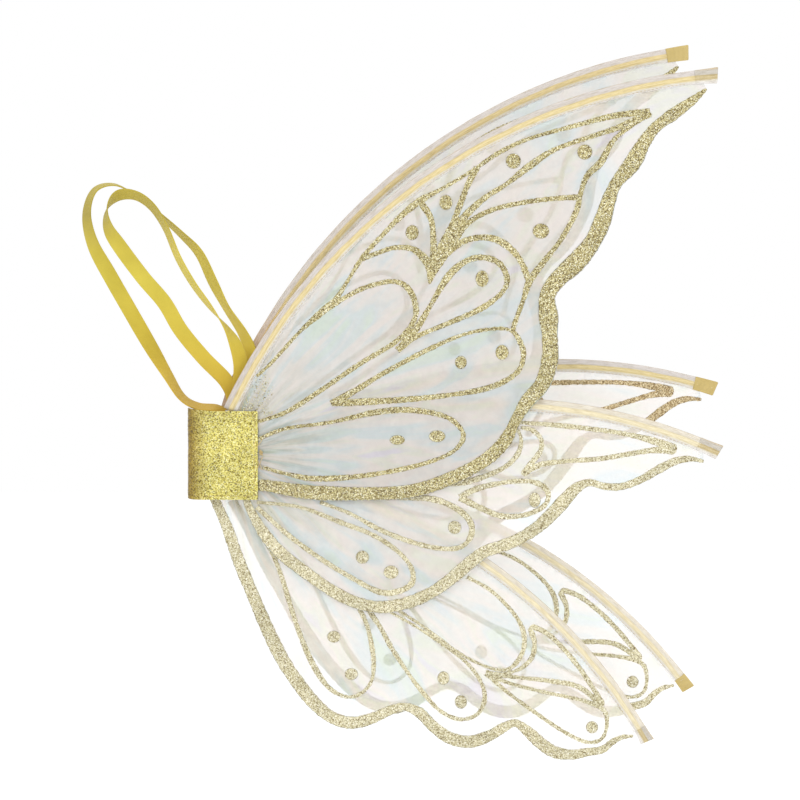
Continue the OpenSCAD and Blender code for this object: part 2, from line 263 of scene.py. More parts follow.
def film_wave(lobe, x, z):
    """How far the film leaves its flat plane: gathers near the root, a slow billow further out."""
    (cx, cz), radius = lobe["arc"][:2]
    behind_rod = max(0.0, radius - CASING_W / 2 - math.hypot(x - cx, z - cz))
    held = min(1.0, behind_rod / HELD_NEAR)
    dx, dz = x - GATHER[0], z - GATHER[1]
    beyond = max(0.0, math.hypot(dx, dz) - GATHER_DEEP)
    turn = math.atan2(dz, dx)
    wander = noise.noise(Vector((x / 45, z / 45, lobe["y"])))
    gather = math.sin(turn * GATHERS + wander * 2.5) * math.exp(-beyond / GATHER_FADE)
    fine = math.sin(turn * FINE_GATHERS + wander * 4) * math.exp(-beyond / FINE_FADE)
    billow = noise.noise(Vector((x / BILLOW, z / BILLOW, lobe["y"] * 3)))
    return held * (0.6 * gather + 0.25 * fine + 0.75 * billow)


def in_lobe(side, name, x, z, off=0.0, wave=True):
    """A point of a lobe's plane in the shared frame, in metres; off is outward from the plane."""
    lobe = LOBES[name]
    sign = SIDES[side]
    if wave:
        off += film_wave(lobe, x, z)
    if side == "left":
        turn, sx, sz = LIFT[name]
        turn = math.radians(turn)
        dx, dz = x - LIFT_CENTRE[0], z - LIFT_CENTRE[1]
        x = LIFT_CENTRE[0] + sx + dx * math.cos(turn) - dz * math.sin(turn)
        z = LIFT_CENTRE[1] + sz + dx * math.sin(turn) + dz * math.cos(turn)
    tilt = math.radians(lobe["tilt"])
    along = x - FAN_X
    return Vector((
        FAN_X + along * math.cos(tilt) - off * math.sin(tilt),
        sign * (lobe["y"] + along * math.sin(tilt) + off * math.cos(tilt)),
        z,
    )) * MM


def add_object(name, data):
    obj = bpy.data.objects.new(name, data)
    bpy.context.scene.collection.objects.link(obj)
    return obj


def make_piece(name, verts, faces, material, uvs, smooth=True):
    mesh = bpy.data.meshes.new(name)
    mesh.from_pydata([tuple(v) for v in verts], [], faces)
    layer = mesh.uv_layers.new(name="along")
    for loop in mesh.loops:
        layer.data[loop.index].uv = uvs[loop.vertex_index]
    bm = bmesh.new()
    bm.from_mesh(mesh)
    bmesh.ops.recalc_face_normals(bm, faces=bm.faces)
    bm.to_mesh(mesh)
    bm.free()
    for poly in mesh.polygons:
        poly.use_smooth = smooth
    mesh.materials.append(material)
    return add_object(name, mesh)


def thicken(obj, thickness):
    solid = obj.modifiers.new("thickness", "SOLIDIFY")
    solid.thickness = thickness * MM
    solid.offset = 0


def apply_modifiers(obj):
    graph = bpy.context.evaluated_depsgraph_get()
    mesh = bpy.data.meshes.new_from_object(obj.evaluated_get(graph))
    obj.modifiers.clear()
    obj.data = mesh


def around(count, spin=0.0):
    """Cosine and sine of each direction in a full ring; spin is a share of a turn."""
    turns = [2 * math.pi * (k / count + spin) for k in range(count)]
    return [(math.cos(turn), math.sin(turn)) for turn in turns]


def tube_faces(rings, sides):
    """Faces of a closed loft of rings with the same number of points."""
    faces = []
    for i in range(rings - 1):
        for k in range(sides):
            a, b = i * sides + k, i * sides + (k + 1) % sides
            faces.append((a, b, b + sides, a + sides))
    faces.append(tuple(range(sides))[::-1])
    faces.append(tuple((rings - 1) * sides + k for k in range(sides)))
    return faces


class Soup:
    """Collects parts of one piece."""

    def __init__(self):
        self.verts, self.faces, self.uvs = [], [], []

    def add(self, verts, faces, uvs=None):
        base = len(self.verts)
        self.verts += verts
        self.faces += [tuple(i + base for i in f) for f in faces]
        self.uvs += uvs or [(0, 0)] * len(verts)

    def piece(self, name, material, smooth=True):
        return make_piece(name, self.verts, self.faces, material, self.uvs, smooth)


# -------- materials
WHITE = (1.0, 1.0, 1.0)


class Look:
    """A material while it is put together: each method adds a node and gives back its output."""

    def __init__(self, name):
        self.material = bpy.data.materials.new(name)
        self.material.use_nodes = True
        self.nodes = self.material.node_tree.nodes
        self.links = self.material.node_tree.links

    def plug(self, socket, value):
        """Sets a socket to a number or colour, or links it to another node's output."""
        if isinstance(value, bpy.types.NodeSocket):
            self.links.new(value, socket)
        else:
            socket.default_value = value

    def node(self, kind, **inputs):
        node = self.nodes.new("ShaderNode" + kind)
        for key, value in inputs.items():
            self.plug(node.inputs[key.replace("_", " ")], value)
        return node

    def surface(self, **inputs):
        for key, value in inputs.items():
            self.plug(self.nodes["Principled BSDF"].inputs[key.replace("_", " ")], value)
        return self.material

    def place(self):
        return self.node("TexCoord").outputs["Object"]

    def along(self):
        uv = self.node("UVMap")
        uv.uv_map = "along"
        return uv.outputs[0]

    def parts(self, vector):
        return self.node("SeparateXYZ", Vector=vector).outputs

    def stretched(self, vector, scale):
        return self.node("Mapping", Vector=vector, Scale=scale).outputs[0]

    def noise(self, vector, **inputs):
        return self.node("TexNoise", Vector=vector, **inputs).outputs["Fac"]

    def waves(self, vector, scale, distortion, direction="X"):
        node = self.node("TexWave", Vector=vector, Scale=scale, Distortion=distortion)
        node.bands_direction = direction
        return node.outputs["Fac"]

    def span(self, value, start, end, low=0.0, high=1.0):
        limits = {"From Min": start, "From Max": end, "To Min": low, "To Max": high}
        return self.node("MapRange", Value=value, **limits).outputs["Result"]

    def ramp(self, value, stops, mode="LINEAR"):
        node = self.nodes.new("ShaderNodeValToRGB")
        self.plug(node.inputs[0], value)
        node.color_ramp.interpolation = mode
        while len(node.color_ramp.elements) < len(stops):
            node.color_ramp.elements.new(0.5)
        for element, (position, colour) in zip(node.color_ramp.elements, stops):
            element.position = position
            element.color = (*colour, 1)
        return node.outputs[0]

    def grey_ramp(self, value, stops):
        return self.ramp(value, [(position, (grey,) * 3) for position, grey in stops])

    def times(self, first, second, amount=1.0):
        """The first colour multiplied by the second, as far as amount says."""
        node = self.nodes.new("ShaderNodeMix")
        node.data_type, node.blend_type = "RGBA", "MULTIPLY"
        for index, value in ((0, amount), (6, first), (7, second)):
            self.plug(node.inputs[index], value)
        return node.outputs[2]

    def reckon(self, kind, operation, *values):
        """One sum of the Math or the VectorMath node."""
        node = self.nodes.new("ShaderNode" + kind)
        node.operation = operation
        for index, value in enumerate(values):
            self.plug(node.inputs[index], value)
        return node.outputs[0]

    def bump(self, height, strength, distance):
        return self.node("Bump", Height=height, Strength=strength, Distance=distance).outputs[0]


def glitter_material(name, stops, cell=0.00065, metallic=0.15, tilt=0.7, roughness=0.45, fold=None):
    """Flakes: each cell has its own tone and its own slightly turned normal. A fold is painted shade on the
    wrap's rounded fold: its two ends along the cloth and the painted shade tint that it starts with."""
    look = Look(name)
    flakes = look.node("TexVoronoi", Vector=look.place(), Scale=1 / cell).outputs["Color"]
    pick = look.node("SeparateColor", Color=flakes).outputs[0]
    drift = look.noise(look.place(), Scale=45.0, Detail=3.0)
    shade = look.ramp(drift, [(0.35, (0.82, 0.82, 0.80)), (0.65, WHITE)])
    colour = look.times(look.ramp(pick, stops, "CONSTANT"), shade)
    # painted shade: the rounded fold is darkened where the cloth turns away from the light
    if fold:
        start, end, tint = fold
        fold_shade = look.span(look.parts(look.along())[0], start, end)
        colour = look.times(colour, look.ramp(fold_shade, [(0.0, tint), (1.0, WHITE)]))
    centred = look.reckon("VectorMath", "SUBTRACT", flakes, (0.5, 0.5, 0.5))
    turned = look.reckon("VectorMath", "MULTIPLY", centred, (tilt, tilt, tilt))
    added = look.reckon("VectorMath", "ADD", look.node("NewGeometry").outputs["Normal"], turned)
    return look.surface(
        Base_Color=colour, Normal=look.reckon("VectorMath", "NORMALIZE", added),
        Metallic=metallic, Roughness=roughness)


FILM_TINTS = [
    (0.32, (0.72, 0.82, 0.74)), (0.41, (0.72, 0.79, 0.82)), (0.48, (0.83, 0.82, 0.80)),
    (0.55, (0.88, 0.82, 0.79)), (0.61, (0.82, 0.83, 0.74)), (0.69, (0.78, 0.75, 0.83)),
]


def film_material(name, thinnest, thickest, tone):
    """Thin pearly film: streaks of pale tints run out from the root, painted shade in the gathers darkens it
    there, and layers show through."""
    look = Look(name)
    along = look.along()
    cloud = look.noise(look.stretched(along, (1.2, 26.0, 1.0)),
                       Scale=1.0, Detail=4.0, Roughness=0.55, Distortion=0.7)
    tints = look.ramp(cloud, [(position, tuple(tone * c for c in tint)) for position, tint in FILM_TINTS])
    gathers = look.noise(look.stretched(along, (1.6, 30.0, 1.0)),
                         Scale=1.0, Detail=4.0, Roughness=0.65, Distortion=0.3)
    # painted shade in the gathers near the root
    folds = look.ramp(gathers, [(0.38, (0.60, 0.64, 0.56)), (0.47, (0.86, 0.88, 0.82)), (0.56, WHITE)])
    near_root = look.span(look.parts(along)[0], 0.30, 1.15, 0.85, 0.0)
    streak = look.noise(look.place(), Scale=60.0, Detail=5.0, Roughness=0.6)
    return look.surface(
        Base_Color=look.times(tints, folds, near_root),
        Normal=look.bump(look.reckon("Math", "ADD", streak, gathers), 0.3, 0.0007),
        Alpha=look.grey_ramp(streak, [(0.35, thinnest), (0.65, thickest)]),
        Roughness=0.3, Coat_Weight=0.25, Coat_Roughness=0.15,
        Thin_Film_Thickness=420, Thin_Film_IOR=1.4)


def casing_material(name, rod, sleeve, sleeve_alpha, shade=None):
    """Sleeve over a rod: the rod is a golden stripe inside a grey-pink band; shade is painted shade over its
    root end.
    """
    look = Look(name)
    along = look.along()
    down, across = look.parts(along)[:2]
    wobble = look.noise(look.place(), Scale=50.0, Detail=2.0)
    band = look.reckon("Math", "MULTIPLY_ADD", wobble, 0.14, across)
    colour = look.ramp(band, [
        (0.0, (0.62, 0.50, 0.32)), (0.07, (0.66, 0.56, 0.42)), (0.12, sleeve), (0.42, sleeve),
        (0.50, rod), (0.64, tuple(c + 0.09 for c in rod)), (0.78, rod),
        (0.90, (0.84, 0.80, 0.70)), (1.0, (0.86, 0.83, 0.80)),
    ])
    strands = look.noise(look.stretched(along, (110.0, 16.0, 1.0)), Scale=1.0, Detail=4.0, Roughness=0.65)
    colour = look.times(colour, look.ramp(strands, [(0.35, (0.74, 0.70, 0.62)), (0.55, WHITE)]))
    # painted shade over the sleeve's root end
    if shade:
        colour = look.times(colour, look.ramp(down, [(0.0, shade), (0.045, shade), (0.10, WHITE)]))
    cover = look.grey_ramp(band, [(0.0, sleeve_alpha), (0.42, sleeve_alpha), (0.54, 0.95),
                                  (0.80, 0.95), (0.95, 0.75)])
    return look.surface(
        Base_Color=colour, Alpha=cover, Normal=look.bump(look.waves(look.place(), 900.0, 1.5), 0.15, 0.0002),
        Roughness=0.42, Sheen_Weight=0.15)


def woven_material(name, dark, light, thread=None, roughness=0.75, ribs=None, height_shade=None):
    """Cloth: fine crossed threads and slow drift. Elastic has ribs instead, and painted shade that changes
    over a
    stretch of height: an orange painted shadow low down by the wrap, darker painted shade toward the top."""
    look = Look(name)
    place = look.place()
    if ribs:
        weave, scale, weft = look.stretched(look.along(), (*ribs, 1.0)), 1.0, "Y"
    else:
        weave, scale, weft = place, 0.32 / thread, "Z"
    cross = look.reckon("Math", "ADD", look.waves(weave, scale, 0.6), look.waves(weave, scale, 0.6, weft))
    drift = look.noise(place, Scale=30.0, Detail=4.0)
    colour = look.ramp(look.reckon("Math", "MULTIPLY_ADD", cross, 0.22, drift), [(0.35, dark), (0.95, light)])
    # painted shade by height: orange painted shadow low down, darker toward the top
    if height_shade:
        bottom, top, stops = height_shade
        height = look.span(look.parts(place)[2], bottom, top)
        colour = look.times(colour, look.ramp(height, stops))
    return look.surface(
        Base_Color=colour, Normal=look.bump(cross, 0.35, 0.00025), Roughness=roughness, Sheen_Weight=0.2)


PRINT = glitter_material(
    "glitter_print",
    [(0.0, (0.12, 0.08, 0.02)), (0.22, (0.36, 0.29, 0.11)), (0.48, (0.55, 0.48, 0.22)),
     (0.73, (0.82, 0.76, 0.46)), (0.91, (1.0, 0.98, 0.78))],
    cell=0.0006, metallic=0.2, tilt=0.8, roughness=0.4)
PALE_PRINT = glitter_material(
    "glitter_print_pale",
    [(0.0, (0.27, 0.21, 0.10)), (0.16, (0.48, 0.42, 0.24)), (0.40, (0.67, 0.62, 0.40)),
     (0.70, (0.86, 0.81, 0.60)), (0.93, (1.0, 0.97, 0.82))])
COPPER_PRINT = glitter_material(
    "glitter_print_reverse",
    [(0.0, (0.24, 0.15, 0.06)), (0.20, (0.42, 0.30, 0.14)), (0.46, (0.60, 0.46, 0.25)),
     (0.72, (0.78, 0.65, 0.40)), (0.94, (0.96, 0.86, 0.62))])
# The wrap's glitter, with painted shade over its rounded fold
CLOTH_GLITTER = glitter_material(
    "wrap_glitter",
    [(0.0, (0.15, 0.11, 0.01)), (0.18, (0.48, 0.39, 0.06)), (0.35, (0.76, 0.67, 0.15)),
     (0.62, (0.88, 0.82, 0.29)), (0.90, (1.0, 0.97, 0.58))],
    cell=0.0006, metallic=0.2, tilt=0.65, roughness=0.38, fold=(0.012, 0.027, (0.50, 0.38, 0.15)))
UPPER_FILM = film_material("pearl_film_upper", 0.43, 0.54, tone=0.89)
FILM = film_material("pearl_film", 0.32, 0.41, tone=1.04)
CASING = casing_material("casing_sleeve", (0.73, 0.60, 0.29), (0.74, 0.69, 0.66), 0.7)
# The far upper sleeve, with painted shade at its root end
SHADED_CASING = casing_material("casing_sleeve_shaded", (0.76, 0.61, 0.29), (0.76, 0.70, 0.66), 0.7,
                                shade=(0.86, 0.62, 0.38))
PALE_CASING = casing_material("casing_sleeve_pale", (0.80, 0.71, 0.47), (0.86, 0.80, 0.68), 0.72)
PALE_TAPE = casing_material("sleeve_end", (0.56, 0.45, 0.22), (0.63, 0.59, 0.52), 0.85)
TAPE = woven_material("golden_tape", (0.46, 0.33, 0.08), (0.64, 0.50, 0.20), 0.0006, 0.5)
# Painted shade on the elastic by height: orange painted shadow near the wrap, darker painted shade toward the
# top
ELASTIC_HEIGHT_SHADE = [
    (0.0, (0.94, 0.72, 0.44)), (0.30, (0.97, 0.90, 0.74)), (0.58, (0.96, 0.95, 0.92)),
    (0.72, (0.92, 0.90, 0.84)), (0.88, (0.64, 0.61, 0.46)), (1.0, (0.72, 0.69, 0.54)),
]
ELASTIC = woven_material("yellow_elastic", (0.52, 0.42, 0.03), (0.70, 0.58, 0.06), roughness=0.65,
                         ribs=(2.2, 1.6), height_shade=(0.038, 0.215, ELASTIC_HEIGHT_SHADE))
THREAD = woven_material("gold_thread", (0.42, 0.30, 0.12), (0.62, 0.48, 0.22), 0.0004, 0.6)
LINING = woven_material("cotton_lining", (0.74, 0.64, 0.34), (0.86, 0.78, 0.50), 0.0006)
WEBBING = woven_material("grosgrain", (0.70, 0.56, 0.22), (0.84, 0.72, 0.36), 0.0012)
ROD = woven_material("glass_fibre_rod", (0.66, 0.52, 0.26), (0.80, 0.66, 0.38), 0.0005, 0.35)


# -------- film lobes
def film_outline(lobe):
    """Free edge of the film, outside the border, from root to tip."""
    line = resample(curve_through(lobe["border"][::-1], CURVE_STEPS), EDGE_PITCH)
    edge = []
    for i, p in enumerate(line):
        t = (line[min(len(line) - 1, i + 1)] - line[max(0, i - 1)]).to_2d().normalized()
        edge.append(Vector((p.x + t.y * p.z / 2, p.y - t.x * p.z / 2)).to_tuple())
    return edge


def inside(poly, x, z):
    hit = False
    for (ax, az), (bx, bz) in zip(poly, poly[1:] + poly[:1]):
        if (az > z) != (bz > z) and x < (bx - ax) * (z - az) / (bz - az) + ax:
            hit = not hit
    return hit


def film_points(outline, seed):
    """Scattered points inside the outline, closer together where the film is gathered."""
    rng = random.Random(seed)
    low = [min(p[k] for p in outline) for k in (0, 1)]
    high = [max(p[k] for p in outline) for k in (0, 1)]
    taken = {(round(x / 2), round(z / 2)) for x, z in outline}
    points = []
    for pitch, near_root in ((FILM_PITCH, False), (ROOT_PITCH, True)):
        for i in range(int((high[0] - low[0]) / pitch) + 1):
            for k in range(int((high[1] - low[1]) / pitch) + 1):
                x = low[0] + (i + 0.5 * (k % 2)) * pitch + rng.uniform(-0.1, 0.1) * pitch
                z = low[1] + k * pitch + rng.uniform(-0.1, 0.1) * pitch
                if (math.dist((x, z), GATHER) < GATHER_REACH) != near_root:
                    continue
                if (round(x / 2), round(z / 2)) not in taken and inside(outline, x, z):
                    points.append((x, z))
    return points


def triangle_area(a, b, c):
    return abs((b.x - a.x) * (c.y - a.y) - (c.x - a.x) * (b.y - a.y)) / 2


def build_film(side, name):
    """One lobe's film and its flat area in square millimetres."""
    lobe = LOBES[name]
    start, tip = lobe["arc"][2:]
    first, last = start + 0.2, tip + turn_of(lobe, TIP_L * 0.55)
    along_rod = [arc_point(lobe, last + (first - last) * k / ROD_STEPS, -CASING_W / 2 + 0.6)
                 for k in range(ROD_STEPS + 1)]
    outline = film_outline(lobe) + along_rod + lobe["root"][::-1]
    points = [Vector(p) for p in outline + film_points(outline, name)]
    verts, _, faces, *_ = delaunay_2d_cdt(points, [], [list(range(len(outline)))], 1, 1e-4)
    world = [in_lobe(side, name, v.x, v.y) for v in verts]
    uvs = []
    for v in verts:
        dx, dz = v.x - TINT_CENTRE[0], v.y - TINT_CENTRE[1]
        uvs.append((math.hypot(dx, dz) / 100, math.atan2(dz, dx) / math.pi))
    finish = UPPER_FILM if name == "upper" else FILM
    obj = make_piece(f"{side}_{name}_film_sheet", world, [tuple(f) for f in faces], finish, uvs)
    thicken(obj, FILM_T)
    apply_modifiers(obj)
    return obj, sum(triangle_area(*(verts[i] for i in f[:3])) for f in faces)


STRIPE_SECTION = [(-1, 0), (-0.8, 1), (-0.4, 1), (0, 1), (0.4, 1), (0.8, 1), (1, 0),
                  (0.8, -1), (0.4, -1), (0, -1), (-0.4, -1), (-0.8, -1)]


def stripe(soup, side, name, line, lift):
    """A printed line of glitter: a low rounded ridge on both faces of the film. It narrows at hairpins and
    rises a little along its length, so that it doesn't share a face with a line that it meets."""
    rings = []
    rng = random.Random(len(line))
    for i, p in enumerate(line):
        a, b = line[max(0, i - 1)], line[min(len(line) - 1, i + 1)]
        t = (b - a).to_2d()
        t = t.normalized() if t.length > 1e-6 else Vector((1, 0))
        half = max(0.4, p.z / 2 + rng.uniform(-0.3, 0.3))
        if 0 < i < len(line) - 1:
            bend = (p - a).to_2d().angle((b - p).to_2d(), 0.0)
            hairpin = min(1.0, max(0.0, bend - 0.3) / 0.7)
            half *= 1 - 0.55 * hairpin
        rise = PRINT_T + lift + 0.02 * i / len(line)
        for w, h in STRIPE_SECTION:
            rings.append(in_lobe(side, name, p.x - t.y * half * w, p.y + t.x * half * w, h * rise))
    soup.add(rings, tube_faces(len(line), len(STRIPE_SECTION)))


def dot(soup, side, name, cx, cz, rx, rz):
    """A printed dot on both faces of the film: a flat top and bottom with sloping edges."""
    verts = []
    for height, share in ((PRINT_T, 0.0), (PRINT_T, 0.8), (0, 1.0), (-PRINT_T, 0.8), (-PRINT_T, 0.0)):
        for c, s in around(DOT_SIDES if share else 1):
            verts.append(in_lobe(side, name, cx + rx * share * c, cz + rz * share * s, height))
    faces = []
    for k in range(DOT_SIDES):
        top, ahead = 1 + k, 1 + (k + 1) % DOT_SIDES
        edge, edge_ahead = top + DOT_SIDES, ahead + DOT_SIDES
        low, low_ahead = edge + DOT_SIDES, edge_ahead + DOT_SIDES
        faces += [(0, top, ahead), (top, edge, edge_ahead, ahead), (edge, low, low_ahead, edge_ahead),
                  (low, len(verts) - 1, low_ahead)]
    soup.add(verts, faces)


def build_print(side, name):
    lobe = LOBES[name]
    border, veins, dots = Soup(), Soup(), Soup()
    stripe(border, side, name, resample(curve_through(lobe["border"], CURVE_STEPS), BORDER_PITCH), 0.0)
    for k, vein in enumerate(lobe["veins"]):
        line = resample(curve_through(vein, CURVE_STEPS), VEIN_PITCH)
        stripe(veins, side, name, line, LEVEL_STEP * (k % VEIN_LEVELS))
    for place_and_radii in lobe["dots"]:
        dot(dots, side, name, *place_and_radii)
    look = PRINT if name == "upper" else PALE_PRINT
    pieces = [soup.piece(f"{side}_{name}_glitter_{word}", look)
              for soup, word in ((border, "border"), (veins, "veins"), (dots, "dots"))]
    if (side, name) == ("left", "middle"):
        for piece in pieces:    # the print's brown back shows on the faces toward the right wing
            piece.data.materials.append(COPPER_PRINT)
            for poly in piece.data.polygons:
                poly.material_index = int(poly.normal.y < -0.1)
    return pieces


def build_speckle(side):
    """Loose glitter caught in the gathers by the wrap, thinner further up and further out."""
    rng = random.Random("speckle" + side)
    (cx, cz), radius = UPPER["arc"][:2]
    soup = Soup()
    fade_up, full_to_x, fade_out = 42, 30, 50
    placed = 0
    while placed < SPECKLES:
        x = rng.uniform(*SPECKLE_X)
        z = rng.uniform(*SPECKLE_Z)
        behind_rod = radius - math.hypot(x - cx, z - cz) - CASING_W / 2
        if (behind_rod < 1.5 or rng.random() < (z - SPECKLE_Z[0]) / fade_up
                or rng.random() < (x - full_to_x) / fade_out):
            continue
        placed += 1
        r = rng.uniform(0.25, 0.55)
        face = rng.choice((-1, 1))
        ring = around(5, rng.uniform(0, 1))
        soup.add([in_lobe(side, "upper", x + r * c, z + r * s, face * height)
                  for height in (0.05, 0.16) for c, s in ring], tube_faces(2, 5))
    return soup.piece(f"{side}_upper_speckle", PRINT, smooth=False)


# -------- casings, tips and seams
# Each lobe's sleeve: its width and the length of its taped or pressed tip
CASING_LOOK = {"upper": (11, 18), "middle": (10.4, 18), "lower": (9.4, 12)}
CASING_FINISH = {
    "right": {"upper": CASING, "middle": PALE_CASING, "lower": PALE_CASING},
    "left": {"upper": SHADED_CASING, "middle": CASING, "lower": PALE_CASING},
}


def signed_power(value, exponent):
    """A power that keeps the sign."""
    return math.copysign(abs(value) ** exponent, value)


def sleeve_profile(width):
    """Closed section of a sleeve: flat edges and a soft ridge over the rod. Pairs of across, height."""
    out = []
    for c, s in around(SLEEVE_SIDES):
        across = c * width / 2
        bulge = math.exp(-(across / 2.1) ** 2)
        height = math.copysign(1, s + 1e-9) * (0.35 + (CASING_T / 2 - 0.35) * bulge)
        out.append((across, height * min(1, abs(s) * 2.2)))
    return out


def build_casing(side, name):
    lobe = LOBES[name]
    _, radius, start, tip = lobe["arc"]
    width, tip_length = CASING_LOOK[name]
    first, last = start + turn_of(lobe, SLEEVE_BACK), tip + turn_of(lobe, tip_length - TAPE_OVERLAP)
    count = int(math.radians(first - last) * radius / CASING_PITCH)
    profile = sleeve_profile(width)
    slack = 0.5 if (side, name) == ("left", "upper") else 0.0
    verts, uvs = [], []
    for i in range(count + 1):
        angle = first + (last - first) * i / count
        pucker = noise.noise(Vector((i * 0.35, lobe["y"], SIDES[side] * 3)))
        loose = slack * math.exp(-((i * CASING_PITCH - 24) / 22) ** 2)
        for across, height in profile:
            ripple = 0.25 * pucker * (1 - abs(across) / width)
            wide = across * (1 + 0.035 * noise.noise(Vector((i * 0.22, 7, lobe["y"]))))
            x, z = arc_point(lobe, angle, wide + loose * max(0.0, across))
            verts.append(in_lobe(side, name, x, z, height * (1 + 0.2 * pucker) + ripple, wave=False))
            uvs.append((i * CASING_PITCH * MM, 0.5 - across / width))
    return make_piece(f"{side}_{name}_casing_sleeve", verts, tube_faces(count + 1, len(profile)),
                      CASING_FINISH[side][name], uvs)


def build_tip(side, name):
    """Tape folded over the sleeve's end; the right side's tips are the sleeve itself, folded and pressed."""
    lobe = LOBES[name]
    tip = lobe["arc"][-1]
    taped = side == "left"
    width, length = CASING_LOOK[name]
    first = tip + turn_of(lobe, length)
    verts, uvs = [], []
    for i in range(TIP_STEPS + 1):
        s = i / TIP_STEPS
        closing = i == TIP_STEPS
        angle = first + (tip - first) * s
        flare = 0.5 * s if taped else 0.9 * s * s
        wide = (width + 0.5) / 2 + flare - (0.5 if closing else 0)
        thick = 2.1 * (1 - 0.5 * s * s) - (0.35 if closing else 0)
        wrinkle = 0.2 * math.sin(i * 1.3 + lobe["y"]) + 0.15 * math.sin(i * 2.9)
        for c, d in around(TIP_SIDES):
            across = signed_power(c, 0.5) * wide
            bulge = math.exp(-(across / 2.6) ** 2)
            height = signed_power(d, 0.6) * (0.9 + (thick - 0.9) * bulge) + wrinkle * (1 - abs(c))
            x, z = arc_point(lobe, angle - turn_of(lobe, 0.12 * across) * s, across)
            verts.append(in_lobe(side, name, x, z, height, wave=False))
            uvs.append((s * length * MM, 0.5 - across / width))
    return make_piece(f"{side}_{name}_tip_tape", verts, tube_faces(TIP_STEPS + 1, TIP_SIDES),
                      TAPE if taped else PALE_TAPE, uvs)


def add_stitch(soup, a, b, up, radius):
    """One thread stitch from a to b, humped along up."""
    along = (b - a).normalized()
    side = along.cross(up).normalized()
    rings, sides = 5, 6
    verts = []
    for i in range(rings):
        s = i / (rings - 1)
        middle = a.lerp(b, s) + up * radius * 0.9 * math.sin(math.pi * s)
        r = radius * (0.45 + 0.55 * math.sin(math.pi * s))
        verts += [middle + (side * c + up * d) * r for c, d in around(sides)]
    soup.add(verts, tube_faces(rings, sides))


def build_casing_seam(side, name):
    lobe = LOBES[name]
    _, radius, start, tip = lobe["arc"]
    soup = Soup()
    pitch, length = 3.2, 2.1
    first, last = start - 0.5, tip + turn_of(lobe, TIP_L + 2)
    for i in range(int(math.radians(first - last) * radius / pitch)):
        angle = first - turn_of(lobe, pitch * i)
        for face in (-1, 1):
            ends = []
            for turn in (angle, angle - turn_of(lobe, length)):
                x, z = arc_point(lobe, turn, -CASING_W / 2 + 1.1)
                ends.append(in_lobe(side, name, x, z, face * 0.5, wave=False))
            up = in_lobe(side, name, x, z, face, wave=False) - in_lobe(side, name, x, z, 0, wave=False)
            add_stitch(soup, ends[0], ends[1], up.normalized(), 0.16 * MM)
    return soup.piece(f"{side}_{name}_casing_stitches", THREAD)


def build_lobe(side, name):
    film, area = build_film(side, name)
    prints = build_print(side, name)
    if name == "upper":
        prints.append(build_speckle(side))
    casing = build_casing(side, name)
    tip = build_tip(side, name)
    seam = build_casing_seam(side, name)
    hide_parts(f"{side}_{name}_film")
    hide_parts(f"{side}_{name}_casing")
    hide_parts(f"{side}_{name}_tip")
    finishes = [(film, "film"), (casing, "ribbon"), (tip, "tip_tape"), (seam, "thread")]
    for piece, finish in finishes + [(p, "glitter") for p in prints]:
        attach(piece, f"{side}_{name}_lobe")


for side in SIDES:
    for name in LOBES:
        build_lobe(side, name)


# -------- fabric wrap
def wrap_path(sign):
    """Middle line of one half of the wrap in X and Y, from the spine to the front edge."""
    path = [(SPINE_X, 0.0), (SPINE_X, sign * BEND_Y / 2), (SPINE_X, sign * BEND_Y)]
    for k in range(1, BEND_STEPS + 1):
        turn = math.radians(90 * k / BEND_STEPS)
        path.append((BEND_X - BEND_R * math.cos(turn), sign * (BEND_Y + BEND_R * math.sin(turn))))
    for k in range(1, PANEL_STEPS + 1):
        path.append((BEND_X + (REACH - BEND_X) * k / PANEL_STEPS, sign * HALF_Y))
    return path


def wrap_edges(u):
    """Bottom and top of the wrap at a distance u from the spine: it curls up a little toward the fold."""
    curl = max(0.0, 1 - u / 30)
    return WRAP_LOW + 2.4 * curl ** 4, WRAP_HIGH + 3.0 * curl


def wrap_bulge(u, z, height_share):
    """Soft unevenness of the cloth, outward; it fades toward the top and bottom edges."""
    bulge = 0.35 * noise.noise(Vector((u / 16, z / 16, 2))) + 0.12 * noise.noise(Vector((u / 5, z / 5, 9)))
    return bulge * min(1, 6 * height_share * (1 - height_share) + 0.2)


def build_wrap(side):
    sign = SIDES[side]
    path = wrap_path(sign)
    verts, faces, uvs, normals = [], [], [], []
    travelled = 0.0
    for i, (x, y) in enumerate(path):
        ax, ay = path[max(0, i - 1)]
        bx, by = path[min(len(path) - 1, i + 1)]
        t = Vector((bx - ax, by - ay)).normalized()
        out = Vector((-t.y, t.x)) * sign
        normals.append(out)
        if i:
            travelled += math.dist(path[i], path[i - 1])
        for k in range(WRAP_ROWS + 1):
            s = k / WRAP_ROWS
            low, high = wrap_edges(travelled)
            z = low + (high - low) * s
            bulge = wrap_bulge(travelled, z, s)
            verts.append(Vector((x + out.x * bulge, y + out.y * bulge, z)) * MM)
            uvs.append((travelled * MM, z * MM))
    for i in range(len(path) - 1):
        for k in range(WRAP_ROWS):
            a = i * (WRAP_ROWS + 1) + k
            faces.append((a, a + 1, a + WRAP_ROWS + 2, a + WRAP_ROWS + 1))
    obj = make_piece(f"{side}_wrap_cloth", verts, faces, CLOTH_GLITTER, uvs)
    thicken(obj, CLOTH_T)
    edge = obj.modifiers.new("edge", "BEVEL")
    edge.width = 0.35 * MM
    edge.segments = 2
    edge.limit_method = "ANGLE"
    apply_modifiers(obj)
    for poly in obj.data.polygons:
        poly.use_smooth = True
    return obj, build_flakes(side, path, normals)


